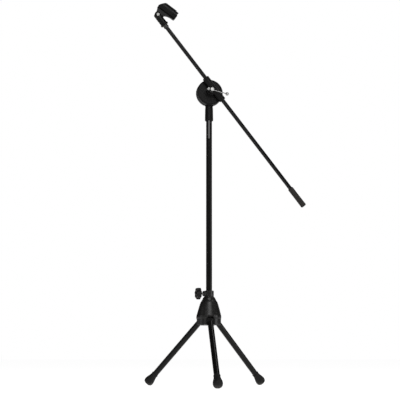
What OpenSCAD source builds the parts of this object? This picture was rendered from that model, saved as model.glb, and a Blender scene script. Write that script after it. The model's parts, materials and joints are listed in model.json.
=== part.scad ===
// Floor-standing microphone stand: a folding tripod base, a two-piece mast,
// a disc clutch with a sliding boom, and a pivoting microphone clip.
// The mast stands on the Z axis of the stand's own frame; +X is to the right
// seen from the front, and the front of the stand faces -Y.

/* [Overall] */
// Height of the clutch axis above the floor
clutch_z = 940; // [900:1:980]
// Turn of the boom head about the mast, in degrees
head_yaw = 12; // [-20:1:20]
// Lean of the boom from upright, in degrees
boom_lean = 38.5; // [30:0.5:60]

/* [Legs] */
// Outside diameter of a leg tube
leg_d = 18; // [17.6:0.1:18.2]
// Wall of a leg tube
leg_wall = 1; // [0.8:0.1:1.2]
// Turn of the front leg to the right of straight ahead, in degrees
leg_turn = 7; // [0:1:15]
// Distance of a foot's centre from the mast axis
foot_reach = 208; // [200:1:220]
// Radius of a foot's round end
foot_r = 15; // [13:0.1:16]
// Distance of a leg's hinge pin from the mast axis
hinge_r = 26; // [25.5:0.1:26.5]
// Height of the leg hinge pins above the floor
hinge_z = 205; // [204:1:206]
// Radius of a hinge pin
hinge_pin_r = 2.5; // [2:0.1:3]

/* [Hub] */
// Height of the hub's lower edge
hub_z = 188; // [186:1:189]
// Height of the step between the skirt and the bell
step_z = 215; // [214:1:217]
// Height of the collar's lower edge
collar_z = 276; // [274:1:278]
// Height of the collar's top
collar_top_z = 296; // [294:1:300]
// Outside radius of the collar
collar_r = 15; // [14.5:0.1:16]
// Radius of the bell where it leaves the collar
bell_top_r = 17; // [16.5:0.1:18]
// Radius of the bell at the step
bell_r = 38; // [37.5:0.1:40]
// Outside radius of the skirt
skirt_r = 37.4; // [37:0.1:38]

/* [Clamping knob] */
// Direction of the knob about the mast, in degrees from +X
knob_turn = 200; // [190:1:210]
// Radius over the knob's lobes
knob_r = 18.8; // [16:0.1:19]
// Thickness of the knob
knob_t = 14; // [12:0.5:15]
// Number of lobes
knob_lobes = 7; // [5:1:8]

/* [Mast] */
// Outside diameter of the mast tubes
mast_d = 19; // [18.8:0.1:19]
// Wall of the mast tubes
mast_wall = 1.2; // [1:0.1:1.5]
// Height of the lower tube's bottom end
mast_z = 195; // [194:1:200]
// Height of the flush seam between the two mast tubes
seam_z = 788; // [700:1:800]

/* [Clutch] */
// Radius of the clutch discs
disc_r = 42.5; // [41:0.1:44]
// Thickness of each clutch disc
disc_t = 12; // [11:0.5:13]
// Number of grip ribs around a disc
disc_ribs = 64; // [48:2:72]
// Outside radius of the neck at its lower end
neck_r = 13.4; // [13.2:0.1:13.8]
// Radius of the clutch bolt
bolt_r = 4; // [4:0.1:4]
// Length of the tee bar between the centres of its ball ends
tee_length = 62.8; // [58:0.1:66]
// Radius of a ball end
ball_r = 5.5; // [5:0.1:5.5]
// Slope of the tee bar, in degrees
tee_slope = 13; // [0:1:30]

/* [Boom] */
// Outside diameter of the boom tube
boom_d = 12.7; // [12.5:0.1:12.7]
// Wall of the boom tube
boom_wall = 1; // [0.8:0.1:1.2]
// Distance of the boom tube from the clutch axis, across the boom
boom_offset = 14; // [14:0.1:15]
// Length of boom tube from the clutch to the clip
boom_up = 251; // [240:1:280]
// Length of boom from the clutch to the end of the grip
boom_down = 480; // [460:1:500]
// Length of the grip
grip_length = 74; // [70:1:90]
// Radius of the grip
grip_r = 9.2; // [9:0.1:10]
// Length of the sleeve that the boom slides through
sleeve_length = 92; // [88:1:96]
// Outside radius of that sleeve
sleeve_r = 11; // [10.5:0.1:11]

/* [Microphone clip] */
// Slope of the clip barrel below level, in degrees
clip_slope = 35; // [30:1:37]
// Distance from the clip's pivot to the centre line of its barrel
barrel_rise = 36.6; // [36:0.1:38]
// Outside radius of the barrel
barrel_r = 16.2; // [16:0.1:16.4]
// Inside radius of the barrel, where the microphone sits
barrel_bore_r = 13; // [12.5:0.1:13.2]
// Distance from the pivot to the barrel's open end
barrel_end = 49.5; // [48:0.5:52]
// Width of the slit along the barrel
slit_w = 9; // [8:0.5:10]

/* [Hidden] */
$fn = 96;

// Place of the mast axis in the stand's frame, which has its origin on the
// floor under the middle of the whole stand
mast_x = -54.01;
mast_y = 40.52;

eps = 0.01;
run_gap = 0.05;      // radial clearance of a running fit
face_gap = 0.1;      // clearance between flat faces that slide on each other
black = "#1c1c1b";
rubber = "#262524";
steel = "#c9c9c6";
brass = "#b08d4a";

// Legs
leg_r = leg_d / 2;
foot_rise = foot_r - 0.9;                        // low enough to flatten the sole
leg_run = foot_reach - hinge_r;
leg_drop = hinge_z - foot_rise;
leg_spread = atan(leg_run / leg_drop);
leg_length = sqrt(leg_run * leg_run + leg_drop * leg_drop);
leg_turns = [-90 + leg_turn, 30 + leg_turn, 150 + leg_turn];
tongue_w = 18.2;                                 // width of a leg plug's hinge eye
slot_w = 19.2;                                   // width of the hub's leg slots
tongue_end = 3;                                  // hinge pin to the end of the square eye
plug_start = 13;                                 // hinge pin to the plug's shoulder
tube_start = 16;                                 // hinge pin to the end of the tube
tube_end = leg_length - 8;
plug_depth = 24;
boot_lip = leg_length - 31;                      // hinge pin to the boot's lip

// Hub
core_r = 16;
mast_r = mast_d / 2;
mast_bore_r = mast_r + run_gap;
slot_gap = 0.6;                                  // leg to hub, all round the swing
arch_r = 13;                                     // arch over a leg, in the skirt
arch_z = 203;
arch_depth = skirt_r - 6;                        // from the mast axis to the arch's inner end
arch_lip = 2.6;                                  // width of the lip round the arch
lip_z = hub_z + 1.6;
lip_top_z = step_z + 0.5;
lip_r = skirt_r + 1.1;
wall = 3;
pocket_top_z = 258;
panel_w = 33;                                    // raised panel over a leg
panel_t = 2;
panel_z = step_z + 0.6;
panel_top_z = 268;
pin_length = 34;

// Clamping knob, by distance from the mast axis
knob_z = (collar_z + collar_top_z) / 2 + 0.5;
boss_r = 8.5;
boss_end = 20;
insert_r = 5.5;
insert_end = boss_end;
stud_r = 3;
pad_t = 2.4;
pad_start = mast_r + 0.1;
stud_start = pad_start + pad_t + 0.1;
ferrule_start = 26.5;
ferrule_r = 8;
knob_start = 29;
lobe_r = 4.6;
knob_bevel = 1.5;
knob_dish = 1.2;                                 // depth of the recess in the knob's face
knob_seat = 4;                                   // face of the knob to the end of its stud

// Mast and neck, by height
neck_z = clutch_z - 91.6;
neck_top_z = clutch_z - disc_r - 1;
mast_top_z = neck_z + 23.6;
coupler_length = 40;
coupler_wall = 1.6;
end_cap = 2;
end_plug_depth = 15;
stud_plug_depth = 22;
stud_flange = 2;
stud_top_z = mast_top_z + 20;
top_stud_r = 7.9;
insert_z = mast_top_z + stud_flange + 0.4;
insert_top_z = insert_z + 18.5;
bore_plug_r = mast_r - mast_wall - run_gap;

// Clutch, by depth behind (+) and in front (-) of the mast axis
split_y = -4;                                    // front face of the rear disc
washer_t = 0.9;
front_y = split_y - washer_t - face_gap;         // rear face of the front disc
face_y = front_y - disc_t;                       // front face of the front disc
boom_y = -26;                                    // depth of the boom's centre line
boss_y = -34;
cup_t = 4.8;
cup_r = 9;
cup_y = boss_y - face_gap - cup_t;
head_y = cup_y - 1.9;
head_t = 13;
head_r = 6;
bar_y = head_y - head_t / 2;
bar_r = 1.5;
bar_short = ball_r + head_r + 0.1;               // bolt axis to the near ball
bar_long = tee_length - bar_short;
bar_seat = 3;                                    // depth of the bar's end past a ball's centre
boss_clutch_r = 13;
rear_boss_y = split_y + disc_t + 8;              // rear face of the boss behind the rear disc
key_r = 12;                                      // outside radius of the washer's key
key_bore_r = 8;
key_t = 0.6;
nut_af = 13;
nut_t = 6.5;
nut_y = 10;

// Boom, by distance along it from the clutch
boom_r = boom_d / 2;
grip_start = boom_down - grip_length;
grip_seat = 6;                                   // end of the grip to the end of the tube
boom_bore_r = boom_r + run_gap;
plug_flange = 2;
plug_shoulder = 3;
pivot_s = 300.7;
base_s = 262;                                    // lower end of the clip base
base_r = 11;
base_foot_r = 13;                                // wider foot of the clip base
base_foot_h = 5;
clip_stud_r = 7.9;
clip_stud_end = 278;
slot_s = pivot_s - 11.4;                         // bottom of the fork's slot
clip_insert_r = 9.4;
pivot_bore_r = 2.5;
clip_screw_r = pivot_bore_r - run_gap;
screw_recess = 1.6;
nut_recess = 2.2;
clip_nut_af = 8;
tongue_t = 10;
fork_gap = 10.6;
eye_r = 10.3;

// ---- Frames -------------------------------------------------------------

module stand_frame() { translate([mast_x, mast_y, 0]) children(); }

// X points out over the leg, the hinge pin lies along Y
module leg_side(turn) {
    stand_frame() rotate([0, 0, turn]) translate([hinge_r, 0, hinge_z]) children();
}

// Z runs from the hinge pin down the middle of the leg
module leg_frame(turn) { leg_side(turn) rotate([0, 180 - leg_spread, 0]) children(); }

// Z runs out along the clamping knob's screw
module knob_frame() {
    stand_frame() translate([0, 0, knob_z]) rotate([0, 0, knob_turn]) rotate([0, 90, 0])
        children();
}

// The clutch axis lies along Y, the front towards -Y
module head_frame() {
    stand_frame() translate([0, 0, clutch_z]) rotate([0, 0, head_yaw]) children();
}

// A round piece on the clutch axis, from its front depth y0 back to y1
module on_clutch_axis(y0, y1) {
    head_frame() translate([0, y1, 0]) rotate([90, 0, 0]) linear_extrude(y1 - y0) children();
}

// Z runs up the boom towards the clip, X points up across it
module boom_frame() {
    head_frame() rotate([0, -boom_lean, 0]) translate([boom_offset, boom_y, 0]) children();
}

// X runs out along the clip barrel from the pivot, Z across it to the barrel
module clip_frame() {
    boom_frame() translate([0, 0, pivot_s]) rotate([0, boom_lean + clip_slope, 0]) children();
}

module tee_frame() {
    head_frame() translate([0, bar_y, 0]) rotate([0, 90 + tee_slope, 0]) children();
}

module tube(r, wall_t, length) {
    difference() {
        cylinder(r = r, h = length);
        translate([0, 0, -1]) cylinder(r = r - wall_t, h = length + 2);
    }
}

module ring(r, bore, length) { tube(r, r - bore, length); }

// ---- Hub ----------------------------------------------------------------

function bell_profile(z, grow) =
    bell_top_r + grow + (bell_r - bell_top_r) * pow((collar_z - z) / (collar_z - step_z), 0.78);

// Outline of the bell, from the top of the collar down to the step
function bell_side(grow, steps = 18) =
    [for (i = [0 : steps])
        let (z = collar_z - (collar_z - step_z) * pow(i / steps, 1.4))
        [bell_profile(z, grow), z]];

module bell(grow) {
    rotate_extrude()
        polygon(concat([[0, collar_z]], bell_side(grow), [[0, step_z]]));
}

module hub_outside() {
    bell(0);
    translate([0, 0, hub_z + 1]) cylinder(r = skirt_r, h = step_z - hub_z - 1 + eps);
    translate([0, 0, hub_z]) cylinder(r1 = skirt_r - 1, r2 = skirt_r, h = 1);
    translate([0, 0, collar_z - eps]) cylinder(r = collar_r, h = collar_top_z - collar_z - 1);
    translate([0, 0, collar_top_z - 1 - eps]) cylinder(r1 = collar_r, r2 = collar_r - 1, h = 1);
    for (turn = leg_turns) rotate([0, 0, turn]) {
        intersection() {
            bell(panel_t);
            translate([0, -panel_w / 2, panel_z])
                cube([bell_r + panel_t + 1, panel_w, panel_top_z - panel_z]);
        }
        // lip round the arch
        intersection() {
            translate([core_r, 0, arch_z]) rotate([0, 90, 0])
                cylinder(r = arch_r + arch_lip, h = bell_r);
            translate([0, 0, lip_z]) cylinder(r = lip_r, h = lip_top_z - lip_z);
        }
    }
}

// The space that a leg sweeps between folded and spread, in its own plane
module leg_sweep() {
    reach = leg_r + slot_gap;
    far = 70;
    rotate([90, 0, 0]) linear_extrude(slot_w, center = true) {
        circle(r = reach);
        rotate(leg_spread - 90) translate([0, -reach]) square([far, 2 * reach]);
        translate([-reach, -far]) square([2 * reach, far]);
        polygon([[0, 0], [0, -far], [far * sin(leg_spread), -far * cos(leg_spread)]]);
    }
}

// Pockets that lighten the moulding, open underneath, between the leg slots
module hub_pockets() {
    web = arch_r + wall;
    shoulder_z = pocket_top_z - 8;
    difference() {
        rotate_extrude() polygon([
            [core_r + wall, hub_z - 1], [skirt_r - wall, hub_z - 1], [skirt_r - wall, step_z],
            [bell_profile(shoulder_z, -wall - 1), shoulder_z], [core_r + wall, pocket_top_z]
        ]);
        for (turn = leg_turns) rotate([0, 0, turn])
            translate([0, -web, hub_z - 2]) cube([bell_r, 2 * web, pocket_top_z - hub_z + 4]);
    }
}

module hub_body() {
    color(black) stand_frame() difference() {
        union() {
            hub_outside();
            translate([0, 0, knob_z]) rotate([0, 0, knob_turn]) rotate([0, 90, 0])
                cylinder(r = boss_r, h = boss_end);
        }
        translate([0, 0, hub_z - 1]) cylinder(r = mast_bore_r, h = collar_top_z - hub_z + 2);
        translate([0, 0, knob_z]) rotate([0, 0, knob_turn]) rotate([0, 90, 0])
            cylinder(r = insert_r, h = boss_end + 1);
        hub_pockets();
        for (turn = leg_turns) rotate([0, 0, turn]) {
            translate([hinge_r, 0, hinge_z]) leg_sweep();
            translate([arch_depth, 0, arch_z]) rotate([0, 90, 0]) cylinder(r = arch_r, h = 20);
            translate([arch_depth, -arch_r, hub_z - 1]) cube([20, 2 * arch_r, arch_z - hub_z + 1]);
            translate([hinge_r, -pin_length / 2, hinge_z]) rotate([-90, 0, 0])
                cylinder(r = hinge_pin_r, h = pin_length);
        }
    }
}

module hinge_pins() {
    color(steel) for (turn = leg_turns) leg_side(turn)
        translate([0, -pin_length / 2, 0]) rotate([-90, 0, 0])
            cylinder(r = hinge_pin_r, h = pin_length);
}

// ---- Clamping knob ------------------------------------------------------

module knob_insert() {
    color(brass) knob_frame() difference() {
        cylinder(r = insert_r, h = insert_end);
        translate([0, 0, -1]) cylinder(r = stud_r + run_gap, h = insert_end + 2);
        rotate([0, -90, 0]) cylinder(r = mast_bore_r, h = 40, center = true);
    }
}

module clamp_pad() {
    color(rubber) knob_frame() translate([0, 0, pad_start]) cylinder(r = stud_r, h = pad_t);
}

module knob_stud() {
    color(steel) knob_frame() translate([0, 0, stud_start])
        cylinder(r = stud_r, h = knob_start + knob_t - knob_seat - stud_start);
}

module knob_ferrule() {
    color(steel) knob_frame() translate([0, 0, ferrule_start])
        ring(ferrule_r, stud_r, knob_start - ferrule_start);
}

module base_knob() {
    color(black) knob_frame() translate([0, 0, knob_start]) difference() {
        union() {
            cylinder(r = knob_r - 3, h = knob_t);
            for (i = [0 : knob_lobes - 1]) rotate([0, 0, i * 360 / knob_lobes])
                translate([knob_r - lobe_r, 0, 0]) {
                    translate([0, 0, knob_bevel]) cylinder(r = lobe_r, h = knob_t - 2 * knob_bevel);
                    cylinder(r1 = lobe_r - knob_bevel, r2 = lobe_r, h = knob_bevel);
                    translate([0, 0, knob_t - knob_bevel])
                        cylinder(r1 = lobe_r, r2 = lobe_r - knob_bevel, h = knob_bevel);
                }
        }
        translate([0, 0, -1]) cylinder(r = stud_r, h = knob_t - knob_seat + 1);
        translate([0, 0, knob_t - knob_dish]) cylinder(r = ferrule_r, h = 2);
    }
}

// ---- Legs ---------------------------------------------------------------

module leg_plug(turn) {
    color(black) leg_frame(turn) difference() {
        union() {
            rotate([90, 0, 0]) cylinder(r = leg_r, h = tongue_w, center = true);
            translate([-leg_r, -tongue_w / 2, 0]) cube([leg_d, tongue_w, tongue_end + 1]);
            // the square eye turns into the round plug along a cone
            translate([0, 0, tongue_end]) intersection() {
                translate([-leg_r, -tongue_w / 2, 0])
                    cube([leg_d, tongue_w, plug_start - tongue_end + eps]);
                cylinder(r1 = leg_d * 0.75, r2 = leg_r, h = plug_start - tongue_end + eps);
            }
            translate([0, 0, plug_start]) cylinder(r = leg_r, h = tube_start - plug_start);
            translate([0, 0, tube_start - eps])
                cylinder(r = leg_r - leg_wall - run_gap, h = plug_depth);
        }
        rotate([90, 0, 0]) cylinder(r = hinge_pin_r + run_gap, h = tongue_w + 2, center = true);
    }
}

module leg_tube(turn) {
    color(black) leg_frame(turn) translate([0, 0, tube_start])
        tube(leg_r, leg_wall, tube_end - tube_start);
}

// Outline of a boot from its lip down to its domed end, by distance from the hinge pin
function boot_outline() =
    let (lip_r = leg_r + 1.6,
         edge = 33,                              // angle at which the round side ends
         edge_r = foot_r * cos(edge),
         edge_s = leg_length + foot_r * sin(edge),
         dome = 3.4)
    concat(
        [[leg_r, boot_lip], [lip_r - 0.3, boot_lip], [lip_r, boot_lip + 0.4],
         [lip_r, boot_lip + 2.6], [lip_r - 0.5, boot_lip + 3.1]],
        [for (i = [0 : 9])
            let (f = i / 9)
            [lip_r - 0.5 + (foot_r - lip_r + 0.5) * (1 - cos(180 * f)) / 2,
             boot_lip + 4 + (leg_length - boot_lip - 4) * f]],
        [for (a = [6 : 9 : edge]) [foot_r * cos(a), leg_length + foot_r * sin(a)]],
        [for (i = [0 : 6])
            let (f = i / 6)
            [(edge_r - 0.3) * (1 - f), edge_s + dome * (1 - (1 - f) * (1 - f))]],
        [[0, tube_end], [leg_r, tube_end]]);

// Teardrop boot with a thin lip, flattened where it stands on the floor
module rubber_foot(turn) {
    color(rubber) difference() {
        leg_frame(turn) rotate_extrude() polygon(boot_outline());
        translate([-foot_reach * 2, -foot_reach * 2, -20])
            cube([foot_reach * 4, foot_reach * 4, 20]);
    }
}

// ---- Mast ---------------------------------------------------------------

module mast_lower_tube() {
    color(black) stand_frame() translate([0, 0, mast_z]) tube(mast_r, mast_wall, seam_z - mast_z);
}

module mast_upper_tube() {
    color(black) stand_frame() translate([0, 0, seam_z])
        tube(mast_r, mast_wall, mast_top_z - seam_z);
}

module mast_coupler() {
    color(steel) stand_frame() translate([0, 0, seam_z - coupler_length / 2])
        tube(bore_plug_r, coupler_wall, coupler_length);
}

module mast_end_plug() {
    color(black) stand_frame() {
        translate([0, 0, mast_z - end_cap]) cylinder(r = mast_r - 0.2, h = end_cap);
        translate([0, 0, mast_z - eps]) cylinder(r = bore_plug_r, h = end_plug_depth);
    }
}

module mast_top_stud() {
    color(steel) stand_frame() {
        translate([0, 0, mast_top_z - stud_plug_depth])
            cylinder(r = bore_plug_r, h = stud_plug_depth + eps);
        translate([0, 0, mast_top_z]) cylinder(r = mast_r - 0.1, h = stud_flange);
        translate([0, 0, mast_top_z + stud_flange - eps])
            cylinder(r = top_stud_r, h = stud_top_z - mast_top_z - stud_flange);
    }
}

// ---- Clutch -------------------------------------------------------------

// A disc's outline: a rib and a groove, repeated all round
module ribbed_outline() {
    pitch = 360 / disc_ribs;
    depth = 0.9;
    polygon([for (i = [0 : disc_ribs - 1])
        each [
            [disc_r * cos(pitch * (i - 0.30)), disc_r * sin(pitch * (i - 0.30))],
            [disc_r * cos(pitch * (i + 0.30)), disc_r * sin(pitch * (i + 0.30))],
            [(disc_r - depth) * cos(pitch * (i + 0.42)), (disc_r - depth) * sin(pitch * (i + 0.42))],
            [(disc_r - depth) * cos(pitch * (i + 0.58)), (disc_r - depth) * sin(pitch * (i + 0.58))]
        ]]);
}

module swivel_head() {
    color(black) difference() {
        union() {
            on_clutch_axis(split_y, split_y + disc_t) ribbed_outline();
            on_clutch_axis(split_y + disc_t - eps, rear_boss_y) circle(r = boss_clutch_r);
            stand_frame() {
                translate([0, 0, neck_z]) cylinder(r1 = neck_r - 0.8, r2 = neck_r, h = 0.8);
                translate([0, 0, neck_z + 0.8 - eps])
                    cylinder(r1 = neck_r, r2 = neck_r - 0.7, h = neck_top_z - neck_z - 0.8 + eps);
            }
            // the neck runs on behind the disc as a rounded rib
            head_frame() intersection() {
                translate([0, 0, neck_top_z - clutch_z - 1])
                    cylinder(r1 = neck_r - 0.7, r2 = neck_r - 3, h = 34);
                translate([-20, split_y, -60]) cube([40, 40, 60]);
            }
        }
        stand_frame() {
            translate([0, 0, neck_z - 1]) cylinder(r = mast_bore_r, h = insert_z - neck_z + 1);
            translate([0, 0, insert_z - eps]) cylinder(r = mast_r, h = insert_top_z - insert_z + 0.3);
        }
        on_clutch_axis(split_y - 1, nut_y + 1) circle(r = bolt_r + run_gap);
        on_clutch_axis(nut_y, 40) circle(r = nut_af / 2 / cos(30) + 0.1, $fn = 6);
        // shallow ring recess that takes the friction washer's key
        on_clutch_axis(split_y - 1, split_y + key_t) difference() {
            circle(r = key_r);
            circle(r = key_bore_r);
        }
    }
}

module neck_insert() {
    color(brass) stand_frame() translate([0, 0, insert_z])
        ring(mast_r, top_stud_r + run_gap, insert_top_z - insert_z);
}

module clutch_nut() {
    color(steel) on_clutch_axis(nut_y, nut_y + nut_t) difference() {
        circle(r = nut_af / 2 / cos(30), $fn = 6);
        circle(r = bolt_r + run_gap);
    }
}

module friction_washer() {
    color(rubber) on_clutch_axis(split_y - washer_t, split_y) difference() {
        circle(r = disc_r - 3.5);
        circle(r = boss_clutch_r);
    }
}

// Front disc with the sleeve that the boom slides through and a split boss
module front_clutch_half() {
    slit_t = 1.6;
    bevel = 1.2;
    color(black) difference() {
        union() {
            on_clutch_axis(face_y + bevel, front_y) ribbed_outline();
            head_frame() translate([0, face_y, 0]) rotate([-90, 0, 0])
                cylinder(r1 = disc_r - 2.6, r2 = disc_r - 1, h = bevel + eps);
            on_clutch_axis(boss_y, face_y + 1) circle(r = boss_clutch_r);
            boom_frame() {
                translate([0, 0, -sleeve_length / 2 + 1])
                    cylinder(r = sleeve_r, h = sleeve_length - 2);
                for (side = [0, 1]) mirror([0, 0, side])
                    translate([0, 0, sleeve_length / 2 - 1 - eps])
                        cylinder(r1 = sleeve_r, r2 = sleeve_r - 1, h = 1);
            }
        }
        boom_frame() {
            cylinder(r = boom_bore_r, h = sleeve_length + 2, center = true);
            translate([-boom_offset - boss_clutch_r - 1, -slit_t / 2, -sleeve_length / 2 - 1])
                cube([boom_offset + boss_clutch_r + 1, slit_t, sleeve_length + 2]);
        }
        on_clutch_axis(boss_y - 1, front_y + 1) circle(r = bolt_r + run_gap);
        // flat seat for the pressure cup, cut into the sleeve's side
        on_clutch_axis(boom_y - sleeve_r - 1, boss_y) circle(r = cup_r + 0.5);
    }
}

module pressure_cup() {
    bevel = 1.2;
    color(black) head_frame() translate([0, boss_y - face_gap, 0]) rotate([90, 0, 0]) difference() {
        union() {
            cylinder(r = cup_r, h = cup_t - bevel);
            translate([0, 0, cup_t - bevel - eps]) cylinder(r1 = cup_r, r2 = cup_r - bevel, h = bevel);
        }
        translate([0, 0, -1]) cylinder(r = bolt_r + run_gap, h = cup_t + 2);
    }
}

module clutch_bolt() {
    bevel = 1.2;
    rear_bevel = 0.8;
    color(steel) difference() {
        union() {
            on_clutch_axis(head_y - 1, nut_y + nut_t + 2) circle(r = bolt_r);
            head_frame() translate([0, head_y, 0]) rotate([90, 0, 0]) {
                cylinder(r1 = head_r - rear_bevel, r2 = head_r, h = rear_bevel);
                translate([0, 0, rear_bevel])
                    cylinder(r = head_r, h = head_t - rear_bevel - bevel);
                translate([0, 0, head_t - bevel])
                    cylinder(r1 = head_r, r2 = head_r - bevel, h = bevel);
            }
        }
        tee_frame() cylinder(r = bar_r + run_gap, h = 40, center = true);
    }
}

module tee_bar() {
    color(steel) tee_frame() translate([0, 0, -bar_short - bar_seat])
        cylinder(r = bar_r, h = tee_length + 2 * bar_seat);
}

module tee_ball(along) {
    color(steel) difference() {
        tee_frame() translate([0, 0, along]) sphere(r = ball_r);
        tee_frame() translate([0, 0, -bar_short - bar_seat])
            cylinder(r = bar_r, h = tee_length + 2 * bar_seat);
    }
}

// ---- Boom ---------------------------------------------------------------

module boom_tube() {
    color(black) boom_frame() translate([0, 0, -boom_down + grip_seat])
        tube(boom_r, boom_wall, boom_down - grip_seat + boom_up);
}

// Plug with a flange and the threaded end that carries the clip
module boom_stud() {
    shoulder_r = clip_stud_r + 0.7;
    thread_s = boom_up + plug_flange + plug_shoulder;
    color(black) boom_frame() {
        translate([0, 0, boom_up - plug_depth])
            cylinder(r = boom_r - boom_wall - run_gap, h = plug_depth + eps);
        translate([0, 0, boom_up]) cylinder(r1 = boom_r + 0.6, r2 = shoulder_r, h = plug_flange);
        translate([0, 0, boom_up + plug_flange - eps]) cylinder(r = shoulder_r, h = plug_shoulder);
        translate([0, 0, thread_s - 2 * eps]) cylinder(r = clip_stud_r, h = clip_stud_end - thread_s);
    }
}

module boom_grip() {
    round_r = 3.2;
    end = [for (i = [0 : 6])
        [grip_r - round_r * (1 - cos(i * 15)), -boom_down + round_r - round_r * sin(i * 15)]];
    color(rubber) boom_frame() rotate_extrude() polygon(concat(
        [[boom_r, -grip_start], [grip_r - 1.4, -grip_start], [grip_r - 0.6, -grip_start - 0.8],
         [grip_r, -grip_start - 3.5]],
        end,
        [[0, -boom_down], [0, -boom_down + grip_seat], [boom_r, -boom_down + grip_seat]]));
}

// ---- Microphone clip ----------------------------------------------------

module clip_base() {
    bevel = 0.8;
    ear_s = slot_s - 8;                          // where the ears grow out of the socket
    color(black) boom_frame() difference() {
        union() {
            translate([0, 0, base_s]) {
                cylinder(r1 = base_foot_r - bevel, r2 = base_foot_r, h = bevel);
                translate([0, 0, bevel - eps])
                    cylinder(r = base_foot_r, h = base_foot_h - 2 * bevel + 2 * eps);
                translate([0, 0, base_foot_h - bevel])
                    cylinder(r1 = base_foot_r, r2 = base_foot_r - bevel, h = bevel);
                translate([0, 0, base_foot_h - bevel])
                    cylinder(r = base_r, h = slot_s - base_s - base_foot_h + 2 * bevel);
            }
            intersection() {
                union() {
                    translate([0, 0, pivot_s]) rotate([90, 0, 0])
                        cylinder(r = base_r, h = 2 * base_r, center = true);
                    translate([-base_r, -base_r, ear_s])
                        cube([2 * base_r, 2 * base_r, pivot_s - ear_s]);
                }
                translate([0, 0, ear_s]) cylinder(r = base_r + 1.2, h = 2 * pivot_s - 2 * ear_s);
            }
        }
        translate([-2 * base_r, -fork_gap / 2, slot_s]) cube([4 * base_r, fork_gap, 4 * base_r]);
        translate([0, 0, base_s - 1]) cylinder(r = clip_insert_r, h = clip_stud_end - base_s + 3);
        translate([0, 0, pivot_s]) rotate([90, 0, 0])
            cylinder(r = pivot_bore_r, h = 4 * base_r, center = true);
        translate([0, -base_r + screw_recess, pivot_s]) rotate([90, 0, 0])
            cylinder(r = 5.6, h = base_r);
        translate([0, base_r - nut_recess, pivot_s]) rotate([-90, 0, 0])
            cylinder(r = clip_nut_af / 2 / cos(30) + 0.1, h = base_r, $fn = 6);
    }
}

module clip_insert() {
    color(brass) boom_frame() translate([0, 0, base_s + 0.4])
        ring(clip_insert_r, clip_stud_r, clip_stud_end - base_s);
}

// Cross-headed screw that the clip pivots on
module clip_screw() {
    head = 2.6;
    cross_w = 1;
    cross_length = 6;
    color(steel) clip_frame() {
        translate([0, base_r + 1, 0]) rotate([90, 0, 0]) cylinder(r = clip_screw_r, h = 2 * base_r);
        difference() {
            translate([0, -base_r + screw_recess, 0]) rotate([90, 0, 0])
                cylinder(r1 = 5.4, r2 = 4.2, h = head);
            for (turn = [20, 110]) rotate([0, turn, 0])
                translate([-cross_length / 2, -base_r - 2, -cross_w / 2])
                    cube([cross_length, 2, cross_w]);
        }
    }
}

module clip_nut() {
    nut_h = 3;
    color(steel) boom_frame() translate([0, base_r - nut_recess, pivot_s]) rotate([-90, 0, 0])
        difference() {
            cylinder(r = clip_nut_af / 2 / cos(30), h = nut_h, $fn = 6);
            translate([0, 0, -1]) cylinder(r = clip_screw_r, h = nut_h + 2);
        }
}

// Outline of the fin that joins the barrel to its hinge eye, seen from the front
module clip_fin_outline() {
    circle(r = eye_r);
    polygon(concat(
        [[-9.6, 3.5], [-11.6, 10], [-15, 20], [-17, 28], [0, 34], [44, 26], [barrel_end - 1.2, 21.5]],
        // hollow lower edge, a quarter of an ellipse
        [for (a = [0 : 11.25 : 90])
            [barrel_end - 3 - 30 * sin(a), 20.5 - 11.3 * (1 - cos(a))]],
        [[10.4, 9], [9.8, 3]]));
}

// C-shaped barrel: sloped at the pivot end, cut back beside the slit at the open end
module clip_barrel() {
    start = -24;
    far = 60;                                    // well clear of the barrel all round
    band = 12;                                   // thicker band at the open end
    bevel = 1;
    mouth_x = -17;
    mouth_z = barrel_rise - 9;
    mouth_lean = 56;
    step_length = 10.2;
    step_rise = 9.6;
    color(black) clip_frame() difference() {
        union() {
            translate([start, 0, barrel_rise]) rotate([0, 90, 0])
                cylinder(r = barrel_r - 0.4, h = barrel_end - start);
            translate([barrel_end - band, 0, barrel_rise]) rotate([0, 90, 0])
                cylinder(r = barrel_r, h = band - bevel);
            translate([barrel_end - bevel - eps, 0, barrel_rise]) rotate([0, 90, 0])
                cylinder(r1 = barrel_r, r2 = barrel_r - bevel, h = bevel + eps);
            rotate([90, 0, 0]) linear_extrude(tongue_t, center = true) clip_fin_outline();
        }
        translate([start - 1, 0, barrel_rise]) rotate([0, 90, 0])
            cylinder(r = barrel_bore_r, h = barrel_end - start + 2);
        translate([start - 1, -slit_w / 2, barrel_rise])
            cube([barrel_end - start + 2, slit_w, far]);
        // sloped mouth at the pivot end
        translate([mouth_x, -far / 2, mouth_z]) rotate([0, -mouth_lean, 0])
            translate([-far, 0, 0]) cube([3 * far, far, far]);
        translate([mouth_x - far, -far / 2, 10]) cube([far, far, 30]);
        // cut back on both sides of the slit
        translate([barrel_end - step_length, -far / 2, barrel_rise + step_rise])
            cube([2 * step_length, far, far]);
        rotate([90, 0, 0]) cylinder(r = pivot_bore_r, h = far, center = true);
    }
}

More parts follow.
